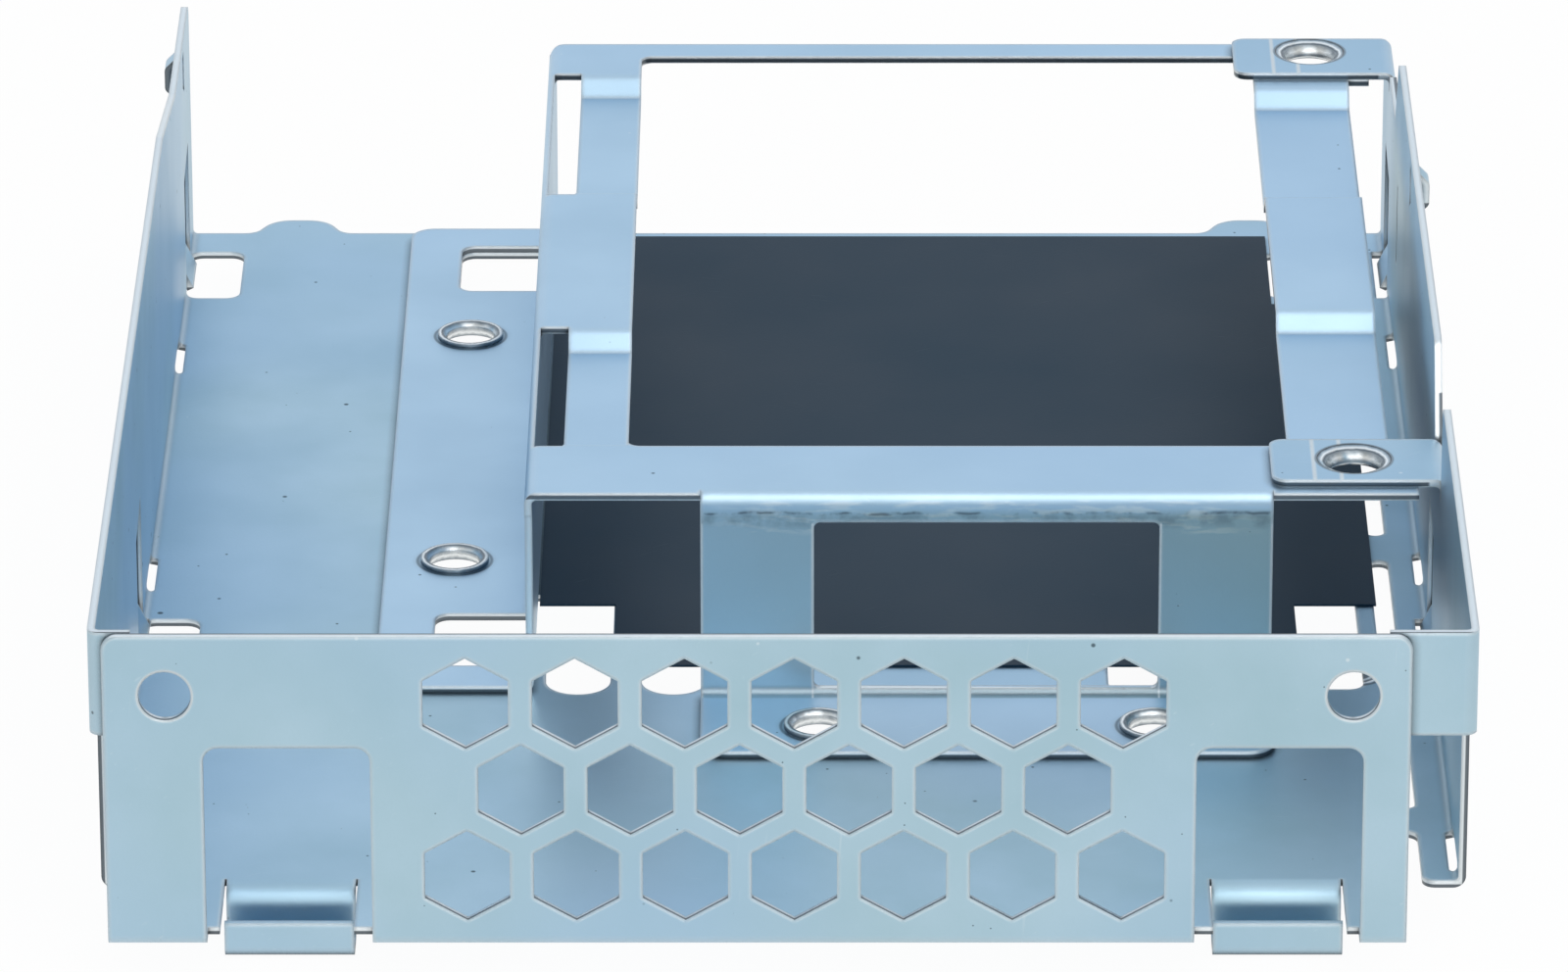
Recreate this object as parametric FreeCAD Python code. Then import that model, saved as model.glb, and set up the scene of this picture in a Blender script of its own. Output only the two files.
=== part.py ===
"""Hot swap drive caddy: a folded sheet tray, the bracket riveted into it and the film under the bracket.

Millimetres. X runs across the caddy, Y from the outer face of the front wall to the rear, and Z up
from the top of the tray's floor. At the end every piece is moved, so that the origin lies under the
middle of the caddy, level with the lowest point of the hooks.
"""
import FreeCAD
import Part
import math
import os

# Sheet
SHEET = 0.6
BEND = 0.7              # bend radius on the middle of the sheet
FRONT_BEND = 0.4        # the same under the front wall, which is folded tighter
FILM = 0.2
TOUCH = 0.1             # gap between two sheets folded against each other

# Tray: floor and side walls
TRAY_WIDTH = 105.6
TRAY_LENGTH = 142.7
WALL_TOP = 25.35
WALL_FRONT = 10.3       # the side walls' lower part starts here
WALL_STEP = 16.8        # above this height the side walls run on to the front
LOBE_LENGTH = 3.0
LOBE_WIDTH = 7.6
LOBE_SLOPE = 1.5        # how much narrower a lobe is at its end, on each side
LOBE_CORNER = 2.6
LOBE_FLARE = 1.5
LOBE_INSETS = (9.9, 12.2)       # from the left and the right wall to the lobes' middles
WALL_CORNER = 1.2

# Tray: left wall's slope, from the rear edge
SLOPE_START = 40.7
SLOPE_END = 21.7
LEFT_REAR_TOP = 21.7

# Tray: ears on the right wall
EAR_TOP = 18.6
EAR_REACH = 14.0
EAR_LENGTH = 8.3
EAR_FRONT = 45.3
EAR_REAR_INSET = 0.1
EAR_HOLE_INSET = 7.3
EAR_HOLE_BACK = (4.35, 5.2)     # from each ear's front edge to its hole
EAR_CORNER = 1.2
RELIEF = 0.5            # width of the cuts beside a fold
RELIEF_DEPTH = 1.6
SHOULDER_RUN = 4.0
REAR_SHOULDER = 23.8    # from the rear edge

# Tray: front wall
FRONT_LEFT_GAP = 1.1
FRONT_RIGHT_GAP = 5.1
FRONT_CORNER = 1.2
FRONT_HOLE = 4.0
FRONT_HOLE_INSETS = (4.75, 4.4)
FRONT_HOLE_Z = 20.4
CELL_FLATS = 6.5
CELL_PITCH = 8.33
CELL_COLUMNS = 7
CELL_ROWS = 3
CELL_CENTRE = (0.85, 12.55)
NOTCH_INSET = 15.0      # from the side wall's outer face to the notch's middle
NOTCH_WIDTH = 12.7
NOTCH_TOP = 16.05
NOTCH_DEPTH = 2.0       # how far the floor stands back in a notch
RETURN_REACH = (3.3, 6.8)       # left and right return flange, from the wall's outer face

# Tray: hooks
HOOK_INSET = 14.7       # from the side wall's outer face to the hook's middle
HOOK_WIDTH = 10.0
HOOK_BEND = 1.3
HOOK_CURL = 0.7
HOOK_FACE = 9.0
HOOK_LIP = 5.5
HOOK_BOTTOM = -4.4
HOOK_LIP_TOP = -1.4
HOOK_SLIT = 0.15

# Tray: spring fingers and bridge lances in the side walls
FINGER_WIDTH = 5.6
FRONT_FINGER = 53.7
REAR_FINGER = 11.7      # from the rear edge
FINGER_SLIT = 0.5
FINGER_HINGE = 10.8
FINGER_KINK = 2.5
FINGER_END = -0.5
FINGER_TURN = 0.9       # how far the finger's end lies inside the wall's outer face
BULGE = 0.85            # how far the fingers stand proud of the wall
LANCE_HEIGHT = 4.2
LANCE_WIDTH = 2.0
LANCE_MARGIN = 0.8
LANCE_BULGE = 0.95
LEFT_LANCE = 9.9        # from the rear edge
RIGHT_LANCE = 97.4      # from the front wall

# Tray: floor openings
FLOOR_CORNER = 1.2
FINGER_OPENING_WIDTH = 4.7
FINGER_OPENING_AHEAD = 3.2
FINGER_OPENING_BEHIND = (0.4, 1.7)      # front and rear finger
FINGER_SLOT_WIDTH = 1.0
BEND_SLOT_WIDTH = 0.8
BEND_SLOT_REACH = 0.2   # how far a bend slot runs into the wall
LEFT_BEND_SLOT = (65.3, 72.0)
RIGHT_BEND_SLOTS = ((12.0, 19.2), (66.5, 72.8))
REAR_BEND_SLOTS = ((31.7, 25.2), (30.7, 23.2))  # left and right, from the rear edge
RELIEF_GAP = 3.35       # from the right wall's outer face to the open slot beside the front wall
RELIEF_WIDTH = 2.85
RELIEF_REAR = 19.4
RELIEF_CORNER = 1.0
LONG_SLOT_GAP = 2.65    # from the right wall's inner face
LONG_SLOT_WIDTH = 1.55
FRONT_LONG_SLOT = (23.5, 71.5)
REAR_LONG_SLOT = (76.6, 18.7)   # front end, and the other end from the rear edge
LEFT_OPENING = (-28.9, -13.9, 49.0, 64.6)
RIGHT_OPENING = (26.0, 46.5, 46.0, 64.6)
REAR_OPENING_SIDES = (41.6, 47.0)
REAR_OPENING_ENDS = (14.7, 4.7)         # from the rear edge
ROUND_SLOT_WIDTH = 5.2
ROUND_SLOT_X = (-16.6, -8.9)
ROUND_SLOT_Y = (45.0, 56.0)
WALL_SLIT_ENDS = (26.5, 25.9)           # from the rear edge
WALL_SLIT_HEIGHTS = (8.0, 15.0)

# Bracket
DRIVE_SPACE = 72.3      # between the bracket's left wall and the tray's right wall
BRACKET_FRONT = 44.0
BRACKET_REAR = 0.4      # from the tray's rear edge
BRACKET_CORNER = 1.5
STRIP_LEFT = 7.5
STRIP_RIGHT = 8.2
STRIP_GAP = 3.55        # from the right strip to the tray's right wall
EAR_PLATE_GAP = 1.75
CROSS_FRONT = 9.6
CROSS_REAR = 3.0
WINDOW_CORNER = 1.0
JOGGLE = 1.5
FRONT_JOGGLES = (24.7, 28.8)    # lengths of the left and the right one, behind the front cross strip
LEFT_REAR_JOGGLE = (35.3, 7.5)          # from the tray's rear edge
RIGHT_REAR_JOGGLE = (36.2, 10.3)
JOGGLE_SLOT = 2.3
LEG_INSET = 13.4
LEG_WIDTH = 45.6
LEG_WINDOW_INSETS = (9.05, 9.05)
LEG_WINDOW_TOP = 2.5
LEG_WINDOW_CORNER = 0.5
FRONT_FOOT = 11.3
FRONT_FOOT_CORNER = 2.2
FRONT_FOOT_HOLE_SPACING = 26.7
FRONT_FOOT_HOLE_BACK = 6.35
LEFT_FOOT = 12.2
LEFT_FOOT_FRONT = 45.2
LEFT_FOOT_CORNER = 2.0
LEFT_FOOT_HOLE_OUT = 6.45
FRONT_LEFT_FOOT_HOLE = 70.2
REAR_LEFT_FOOT_HOLE = 24.8      # from the tray's rear edge
FRONT_FOOT_OPENING = (49.3, 59.5)
REAR_FOOT_OPENING = (14.7, 4.5)         # from the tray's rear edge
LEFT_FOOT_OPENING_WIDTH = 7.7
LEFT_FOOT_OPENING_TOP = 1.1
UNDER_FOOT_MARGIN = 0.8

# Collars drawn from the tray through the bracket and flared over it, which rivet the two together
COLLAR_BORE = 4.0
COLLAR_WALL = 0.4
COLLAR_SHOULDER = 1.0
COLLAR_FACETS = 2       # cones that make the rounded shoulder
COLLAR_TIP = 0.35
COLLAR_TIP_WIDTH = 0.4
COLLAR_CLEARANCE = 0.05

# Insulating film
FILM_LEFT_GAP = 0.1
FILM_RIGHT_GAP = 4.0
FILM_FRONT = 50.3
FILM_REAR = 1.2         # from the tray's rear edge
FILM_NOTCH_REAR = 62.3
FILM_NOTCH_LEFT = 6.2
FILM_NOTCH_RIGHT = 6.7
FILM_STEP = 16.7        # from the tray's rear edge
FILM_STEP_WIDTH = 6.2

# Helpers for building
THROUGH = 5.0           # how far a cutter stands out of the sheet that it cuts
OVERLAP = 1.0           # how far pieces that are fused run into each other


def from_rear(inset):
    """Place that lies the inset ahead of the tray's rear edge."""
    return TRAY_LENGTH - inset


def rear_span(insets):
    """Front and rear end of a feature that is placed from the tray's rear edge."""
    return tuple(from_rear(inset) for inset in insets)


# Places that follow from the sizes
WALL_OUT = TRAY_WIDTH / 2
WALL_IN = WALL_OUT - SHEET
WALL_MIDDLE = WALL_OUT - SHEET / 2
FLOOR_MIDDLE = -SHEET / 2
OUTER_BEND = BEND + SHEET / 2
FRONT_OUTER_BEND = FRONT_BEND + SHEET / 2
FRONT_LEFT = -WALL_OUT + FRONT_LEFT_GAP
FRONT_RIGHT = WALL_OUT - FRONT_RIGHT_GAP
RETURN_MIDDLE = SHEET + TOUCH + SHEET / 2
EAR_FRONTS = (EAR_FRONT, from_rear(EAR_REAR_INSET + EAR_LENGTH + RELIEF))
FINGER_FRONTS = (FRONT_FINGER, from_rear(REAR_FINGER))
EAR_BEND = EAR_TOP - OUTER_BEND
PLATE_TOP = EAR_TOP - SHEET
PLATE_MIDDLE = PLATE_TOP - SHEET / 2
BRACKET_IN = WALL_IN - DRIVE_SPACE
BRACKET_OUT = BRACKET_IN - SHEET
BRACKET_END = from_rear(BRACKET_REAR)
CROSS_END = BRACKET_FRONT + CROSS_FRONT
STRIP_RIGHT_END = WALL_IN - STRIP_GAP
STRIP_LEFT_END = BRACKET_OUT + SHEET + STRIP_LEFT
LEG_LEFT = BRACKET_IN + LEG_INSET
LEG_RIGHT = LEG_LEFT + LEG_WIDTH
COLLAR_OUT = COLLAR_BORE / 2 + COLLAR_WALL
COLLAR_MOUTH = COLLAR_BORE / 2 + COLLAR_SHOULDER

X_AXIS = FreeCAD.Vector(1, 0, 0)
Y_AXIS = FreeCAD.Vector(0, 1, 0)
Z_AXIS = FreeCAD.Vector(0, 0, 1)
PLANES = {"x": (Y_AXIS, Z_AXIS, X_AXIS), "y": (X_AXIS, Z_AXIS, Y_AXIS), "z": (X_AXIS, Y_AXIS, Z_AXIS)}


def rounded_wire(points, radii):
    """Closed wire through the points, with each corner rounded to its radius."""
    stops = []
    for index, corner in enumerate(points):
        back = (points[index - 1] - corner).normalize()
        ahead = (points[(index + 1) % len(points)] - corner).normalize()
        half_angle = back.getAngle(ahead) / 2
        reach = radii[index] / math.tan(half_angle)
        depth = radii[index] / math.sin(half_angle) - radii[index]
        middle = corner + (back + ahead).normalize() * depth
        stops.append((corner + back * reach, middle, corner + ahead * reach))
    edges = []
    for index, (start, middle, end) in enumerate(stops):
        if radii[index] > 0:
            edges.append(Part.Arc(start, middle, end).toShape())
        following = stops[(index + 1) % len(stops)][0]
        if end.distanceToPoint(following) > 1e-6:
            edges.append(Part.makeLine(end, following))
    return Part.Wire(edges)


def prism(axis, corners, start, end):
    """Solid with the outline of the (u, v, radius) corners across the axis, from start to end on it."""
    across, up, along = PLANES[axis]
    points = [across * u + up * v + along * start for u, v, radius in corners]
    wire = rounded_wire(points, [radius for u, v, radius in corners])
    return Part.Face(wire).extrude(along * (end - start))


def rectangle(left, right, low, high, radius=0):
    """Corners of a rectangle with equal corner radii."""
    return [(left, low, radius), (right, low, radius), (right, high, radius), (left, high, radius)]


def rod(axis, u, v, diameter, start, end):
    """Cylinder along the axis."""
    across, up, along = PLANES[axis]
    centre = across * u + up * v + along * start
    return Part.makeCylinder(diameter / 2, end - start, centre, along)


def folded(points):
    """Corners of a sheet's section: its middle runs through the (u, v, bend radius) points."""
    places = [complex(u, v) for u, v, radius in points]
    runs = [(after - before) / abs(after - before) for before, after in zip(places, places[1:])]
    left_side = []
    right_side = []
    for index, (place, (u, v, radius)) in enumerate(zip(places, points)):
        arriving = runs[max(index - 1, 0)]
        leaving = runs[min(index, len(runs) - 1)]
        square = 1j * (arriving + leaving) / (1 + (arriving * leaving.conjugate()).real)
        turn = (arriving.conjugate() * leaving).imag
        grow = math.copysign(SHEET / 2, turn) if radius else 0
        left = place + square * SHEET / 2
        right = place - square * SHEET / 2
        left_side.append((left.real, left.imag, radius - grow))
        right_side.append((right.real, right.imag, radius + grow))
    return left_side + right_side[::-1]


def fuse(shapes):
    """One shape from several that meet."""
    return shapes[0].fuse(shapes[1:]).removeSplitter()


def collar(x, y, face, way):
    """Drawn collar: from the sheet's outer face it dips the way up (1) or down (-1), and ends in a flare."""
    inner = COLLAR_BORE / 2
    far = 2 * SHEET
    profile = []
    for facet in range(COLLAR_FACETS + 1):
        angle = math.pi / 2 * facet / COLLAR_FACETS
        depth = COLLAR_SHOULDER * (1 - math.cos(angle))
        profile.append((inner + COLLAR_SHOULDER * (1 - math.sin(angle)), depth))
    profile += [
        (inner, far),
        (inner + COLLAR_TIP, far + COLLAR_TIP),
        (COLLAR_OUT + COLLAR_TIP_WIDTH, far + COLLAR_TIP),
        (COLLAR_OUT + COLLAR_TIP_WIDTH, far),
        (COLLAR_OUT, far),
        (COLLAR_OUT, SHEET),
        (COLLAR_MOUTH, SHEET),
    ]
    points = [FreeCAD.Vector(x + radius, y, face + way * depth) for radius, depth in profile]
    section = Part.Face(Part.makePolygon(points + points[:1]))
    return section.revolve(FreeCAD.Vector(x, y, 0), Z_AXIS, 360)


def add_collars(sheet, places, face, way):
    """The sheet with a drawn collar at each place."""
    low, high = sorted((face, face + way * SHEET))
    blanks = [rod("z", x, y, 2 * COLLAR_MOUTH, low, high) for x, y in places]
    return fuse([sheet.cut(blanks)] + [collar(x, y, face, way) for x, y in places])


def collar_holes(places, top):
    """Cutters for the holes that collars pass, in a sheet whose top is at the height."""
    hole = 2 * (COLLAR_OUT + COLLAR_CLEARANCE)
    return [rod("z", x, y, hole, top - SHEET - OVERLAP, top + OVERLAP) for x, y in places]


def ear_hole_places():
    """Middles of the collars in the two ears."""
    x = WALL_OUT - EAR_HOLE_INSET
    return [(x, front + back) for front, back in zip(EAR_FRONTS, EAR_HOLE_BACK)]


def foot_hole_places():
    """Middles of the collars under the bracket's front foot and left foot."""
    middle = (LEG_LEFT + LEG_RIGHT) / 2
    ahead = BRACKET_FRONT - FRONT_FOOT_HOLE_BACK
    front = [(middle + side * FRONT_FOOT_HOLE_SPACING / 2, ahead) for side in (-1, 1)]
    beside = BRACKET_OUT - LEFT_FOOT_HOLE_OUT
    return front + [(beside, FRONT_LEFT_FOOT_HOLE), (beside, from_rear(REAR_LEFT_FOOT_HOLE))]


# Tray

def tray_floor():
    """Floor with its two side bends, and the two rounded lobes on the rear edge."""
    side = OUTER_BEND + OVERLAP
    section = folded([
        (-WALL_MIDDLE, side, 0),
        (-WALL_MIDDLE, FLOOR_MIDDLE, BEND),
        (WALL_MIDDLE, FLOOR_MIDDLE, BEND),
        (WALL_MIDDLE, side, 0),
    ])
    shapes = [prism("y", section, WALL_FRONT, TRAY_LENGTH)]
    rear = TRAY_LENGTH + LOBE_LENGTH
    for middle in (LOBE_INSETS[0] - WALL_OUT, WALL_OUT - LOBE_INSETS[1]):
        left = middle - LOBE_WIDTH / 2
        right = middle + LOBE_WIDTH / 2
        lobe = [
            (left - LOBE_FLARE - OVERLAP, TRAY_LENGTH - OVERLAP, 0),
            (right + LOBE_FLARE + OVERLAP, TRAY_LENGTH - OVERLAP, 0),
            (right + LOBE_FLARE + OVERLAP, TRAY_LENGTH, 0),
            (right, TRAY_LENGTH, LOBE_FLARE),
            (right - LOBE_SLOPE, rear, LOBE_CORNER),
            (left + LOBE_SLOPE, rear, LOBE_CORNER),
            (left, TRAY_LENGTH, LOBE_FLARE),
            (left - LOBE_FLARE - OVERLAP, TRAY_LENGTH, 0),
        ]
        shapes.append(prism("z", lobe, -SHEET, 0))
    return shapes


def left_wall():
    """Left wall, lower towards the rear."""
    outline = [
        (WALL_FRONT, OUTER_BEND, 0),
        (TRAY_LENGTH, OUTER_BEND, 0),
        (TRAY_LENGTH, LEFT_REAR_TOP, WALL_CORNER),
        (from_rear(SLOPE_END), LEFT_REAR_TOP, WALL_CORNER),
        (from_rear(SLOPE_START), WALL_TOP, WALL_CORNER),
        (RETURN_MIDDLE + BEND, WALL_TOP, 0),
        (RETURN_MIDDLE + BEND, WALL_STEP, 0),
        (WALL_FRONT, WALL_STEP, WALL_CORNER),
    ]
    return prism("x", outline, -WALL_OUT, -WALL_IN)


def right_wall():
    """Right wall, which drops to the level of the ears at the front ear and behind the rear shoulder."""
    front, rear = EAR_FRONTS
    low = EAR_BEND - RELIEF_DEPTH + OUTER_BEND
    front_ear_end = front + EAR_LENGTH
    rear_ear_end = rear + EAR_LENGTH
    outline = [
        (WALL_FRONT, OUTER_BEND, 0),
        (TRAY_LENGTH, OUTER_BEND, 0),
        (TRAY_LENGTH, low, 0),
        (rear_ear_end, low, 0),
        (rear_ear_end, EAR_BEND, 0),
        (rear, EAR_BEND, 0),
        (rear, low, 0),
        (rear - RELIEF, low, 0),
        (rear - RELIEF, EAR_TOP, RELIEF),
        (from_rear(REAR_SHOULDER) + SHOULDER_RUN, EAR_TOP, WALL_CORNER),
        (from_rear(REAR_SHOULDER), WALL_TOP, WALL_CORNER),
        (front_ear_end + RELIEF + SHOULDER_RUN, WALL_TOP, WALL_CORNER),
        (front_ear_end + RELIEF, EAR_TOP, 0),
        (front_ear_end + RELIEF, low, 0),
        (front_ear_end, low, 0),
        (front_ear_end, EAR_BEND, 0),
        (front, EAR_BEND, 0),
        (front, low, 0),
        (front - RELIEF, low, 0),
        (front - RELIEF, WALL_TOP, WALL_CORNER),
        (RETURN_MIDDLE + BEND, WALL_TOP, 0),
        (RETURN_MIDDLE + BEND, WALL_STEP, 0),
        (WALL_FRONT, WALL_STEP, WALL_CORNER),
    ]
    return prism("x", outline, WALL_IN, WALL_OUT)


def ears():
    """Two ears folded inwards from the right wall."""
    section = folded([
        (WALL_MIDDLE, EAR_BEND - OVERLAP, 0),
        (WALL_MIDDLE, EAR_TOP - SHEET / 2, BEND),
        (WALL_OUT - EAR_REACH, EAR_TOP - SHEET / 2, 0),
    ])
    shapes = []
    for front in EAR_FRONTS:
        ear = prism("y", section, front, front + EAR_LENGTH)
        inner = WALL_OUT - EAR_REACH
        outline = [
            (inner, front, EAR_CORNER),
            (WALL_OUT, front, 0),
            (WALL_OUT, front + EAR_LENGTH, 0),
            (inner, front + EAR_LENGTH, EAR_CORNER),
        ]
        shapes.append(ear.common(prism("z", outline, 0, WALL_TOP)))
    return shapes


def front_wall():
    """Front wall, folded up from the floor, before its holes are cut."""
    section = folded([
        (SHEET / 2, WALL_TOP, 0),
        (SHEET / 2, FLOOR_MIDDLE, FRONT_BEND),
        (WALL_FRONT + OVERLAP, FLOOR_MIDDLE, 0),
    ])
    outline = [
        (FRONT_LEFT, -THROUGH, 0),
        (FRONT_RIGHT, -THROUGH, 0),
        (FRONT_RIGHT, WALL_TOP, FRONT_CORNER),
        (FRONT_LEFT, WALL_TOP, FRONT_CORNER),
    ]
    shape = prism("x", section, FRONT_LEFT, FRONT_RIGHT)
    return shape.common(prism("y", outline, 0, WALL_FRONT + OVERLAP))


def return_flanges():
    """Flanges that the side walls turn in behind the front wall."""
    shapes = []
    for side, reach in zip((-1, 1), RETURN_REACH):
        section = folded([
            (side * (WALL_OUT - reach), RETURN_MIDDLE, 0),
            (side * WALL_MIDDLE, RETURN_MIDDLE, BEND),
            (side * WALL_MIDDLE, RETURN_MIDDLE + BEND + OVERLAP, 0),
        ])
        flange = prism("z", section, WALL_STEP, WALL_TOP)
        end = side * (WALL_OUT - reach)
        outline = [
            (end, WALL_STEP, WALL_CORNER),
            (end, WALL_TOP, 0),
            (side * (WALL_OUT + OVERLAP), WALL_TOP, 0),
            (side * (WALL_OUT + OVERLAP), WALL_STEP, 0),
        ]
        shapes.append(flange.common(prism("y", outline, 0, WALL_FRONT)))
    return shapes


def hook_middles():
    """Middles of the two hooks, across the tray."""
    return [side * (WALL_OUT - HOOK_INSET) for side in (-1, 1)]


def hooks():
    """J-shaped hooks, folded down from the floor behind the front wall."""
    low = HOOK_BOTTOM + SHEET / 2
    section = folded([
        (HOOK_FACE + HOOK_BEND + SHEET + OVERLAP, FLOOR_MIDDLE, 0),
        (HOOK_FACE + SHEET / 2, FLOOR_MIDDLE, HOOK_BEND),
        (HOOK_FACE + SHEET / 2, low, HOOK_CURL),
        (HOOK_LIP + SHEET / 2, low, HOOK_CURL),
        (HOOK_LIP + SHEET / 2, HOOK_LIP_TOP, 0),
    ])
    half = HOOK_WIDTH / 2
    return [prism("x", section, middle - half, middle + half) for middle in hook_middles()]


def hook_cuts():
    """Space that the hooks leave in the floor, with a slit beside each."""
    rear = HOOK_FACE + SHEET / 2 + HOOK_BEND
    half = HOOK_WIDTH / 2 + HOOK_SLIT
    return [prism("z", rectangle(middle - half, middle + half, 0, rear), -THROUGH, THROUGH)
            for middle in hook_middles()]


def notch_cuts():
    """Notches that the hooks leave in the front wall, through its bend and the floor's edge."""
    cuts = []
    for side in (-1, 1):
        middle = side * (WALL_OUT - NOTCH_INSET)
        notch = [
            (middle - NOTCH_WIDTH / 2, -THROUGH, 0),
            (middle + NOTCH_WIDTH / 2, -THROUGH, 0),
            (middle + NOTCH_WIDTH / 2, NOTCH_TOP, FRONT_CORNER),
            (middle - NOTCH_WIDTH / 2, NOTCH_TOP, FRONT_CORNER),
        ]
        cuts.append(prism("y", notch, -OVERLAP, SHEET + TOUCH / 2))
        foot = rectangle(middle - NOTCH_WIDTH / 2, middle + NOTCH_WIDTH / 2, -OVERLAP, NOTCH_DEPTH)
        cuts.append(prism("z", foot, -THROUGH, FRONT_OUTER_BEND))
    return cuts


def hexagon(u, v):
    """Corners of one honeycomb cell with its point upwards."""
    radius = CELL_FLATS / math.sqrt(3)
    angles = [math.radians(30 + 60 * turn) for turn in range(6)]
    return [(u + radius * math.cos(angle), v + radius * math.sin(angle), 0) for angle in angles]


def honeycomb_cuts():
    """Honeycomb cells in the front wall: every second row is half a pitch across and one cell shorter."""
    cuts = []
    row_pitch = CELL_PITCH * math.sqrt(3) / 2
    for row in range(CELL_ROWS):
        count = CELL_COLUMNS - row % 2
        z = CELL_CENTRE[1] + (row - (CELL_ROWS - 1) / 2) * row_pitch
        for column in range(count):
            x = CELL_CENTRE[0] + (column - (count - 1) / 2) * CELL_PITCH
            cuts.append(prism("y", hexagon(x, z), -OVERLAP, SHEET + TOUCH / 2))
    return cuts


def front_hole_cuts():
    """Two round holes near the ends of the front wall."""
    places = (FRONT_LEFT + FRONT_HOLE_INSETS[0], FRONT_RIGHT - FRONT_HOLE_INSETS[1])
    return [rod("y", x, FRONT_HOLE_Z, FRONT_HOLE, -OVERLAP, RETURN_MIDDLE + SHEET) for x in places]


def wall_cut(side, front, rear, low, high):
    """Window through the left (-1) or the right (1) wall."""
    inner, outer = sorted((side * (WALL_IN - OVERLAP / 2), side * (WALL_OUT + OVERLAP)))
    return prism("x", rectangle(front, rear, low, high), inner, outer)


def finger_windows():
    """Cuts in both walls around the spring fingers, down through the bend."""
    cuts = []
    for side in (-1, 1):
        for front in FINGER_FRONTS:
            rear = front + FINGER_WIDTH + FINGER_SLIT
            cuts.append(wall_cut(side, front - FINGER_SLIT, rear, -THROUGH, FINGER_HINGE))
    return cuts


def fingers():
    """Spring fingers hinged in the walls: they lean out and turn back in at their lower ends."""
    shapes = []
    for side in (-1, 1):
        section = folded([
            (side * WALL_MIDDLE, FINGER_HINGE, 0),
            (side * (WALL_MIDDLE + BULGE), FINGER_KINK, BEND),
            (side * (WALL_OUT - FINGER_TURN), FINGER_END, 0),
        ])
        for front in FINGER_FRONTS:
            shapes.append(prism("y", section, front, front + FINGER_WIDTH))
    return shapes


def lance_spans():
    """For each bridge lance: its wall's side, its middle along the wall and its upper end."""
    return [
        (-1, from_rear(LEFT_LANCE), LEFT_REAR_TOP - LANCE_MARGIN),
        (1, RIGHT_LANCE, WALL_TOP - LANCE_MARGIN),
    ]


def lance_cuts():
    """Windows in the walls that the bridge lances are pressed out of."""
    half = LANCE_WIDTH / 2
    return [wall_cut(side, y - half, y + half, top - LANCE_HEIGHT, top) for side, y, top in lance_spans()]


def lances():
    """Narrow bridges pressed out of the walls, joined to them at the top and the bottom."""
    shapes = []
    for side, y, top in lance_spans():
        low = top - LANCE_HEIGHT
        middle = side * WALL_MIDDLE
        proud = side * (WALL_MIDDLE + LANCE_BULGE)
        section = folded([
            (middle, low - SHEET / 2, 0),
            (middle, low + SHEET / 2, SHEET / 2),
            (proud, low + SHEET / 2 + LANCE_BULGE, SHEET / 2),
            (proud, top - SHEET / 2 - LANCE_BULGE, SHEET / 2),
            (middle, top - SHEET / 2, SHEET / 2),
            (middle, top + SHEET / 2, 0),
        ])
        shapes.append(prism("y", section, y - LANCE_WIDTH / 2, y + LANCE_WIDTH / 2))
    return shapes


def floor_cut(left, right, front, rear, radius=FLOOR_CORNER):
    """Opening with rounded corners through the tray's floor."""
    radius = min(radius, 0.49 * (right - left), 0.49 * (rear - front))
    return prism("z", rectangle(left, right, front, rear, radius), -SHEET - OVERLAP, BEND)


def finger_floor_cuts():
    """Openings in the floor at the fingers, wide at the left wall and narrow at the right one."""
    cuts = []
    for front, behind in zip(FINGER_FRONTS, FINGER_OPENING_BEHIND):
        ends = (front - FINGER_OPENING_AHEAD, front + FINGER_WIDTH + behind)
        cuts.append(floor_cut(-WALL_IN, -WALL_IN + FINGER_OPENING_WIDTH, *ends))
        cuts.append(floor_cut(WALL_IN - FINGER_SLOT_WIDTH, WALL_IN, *ends, 0))
    return cuts


def bend_slot_cuts():
    """Slots along the bends, and the two long slots beside the right wall."""
    rear_left, rear_right = [rear_span(ends) for ends in REAR_BEND_SLOTS]
    near = WALL_IN + BEND_SLOT_REACH
    inner = near - BEND_SLOT_WIDTH
    cuts = [floor_cut(-near, -inner, *ends) for ends in (LEFT_BEND_SLOT, rear_left)]
    cuts += [floor_cut(inner, near, *ends) for ends in RIGHT_BEND_SLOTS + (rear_right,)]
    right = WALL_IN - LONG_SLOT_GAP
    for front, rear in (FRONT_LONG_SLOT, (REAR_LONG_SLOT[0], from_rear(REAR_LONG_SLOT[1]))):
        cuts.append(floor_cut(right - LONG_SLOT_WIDTH, right, front, rear))
    return cuts


def front_relief_cut():
    """Open slot in the floor between the front wall's right end and the strip beside the right wall."""
    right = WALL_OUT - RELIEF_GAP
    left = right - RELIEF_WIDTH
    outline = [
        (left, FRONT_OUTER_BEND, 0),
        (WALL_IN, FRONT_OUTER_BEND, 0),
        (WALL_IN, WALL_FRONT, 0),
        (right, WALL_FRONT, RELIEF_CORNER),
        (right, RELIEF_REAR, RELIEF_CORNER),
        (left, RELIEF_REAR, RELIEF_CORNER),
    ]
    return prism("z", outline, -THROUGH, OUTER_BEND)


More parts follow.
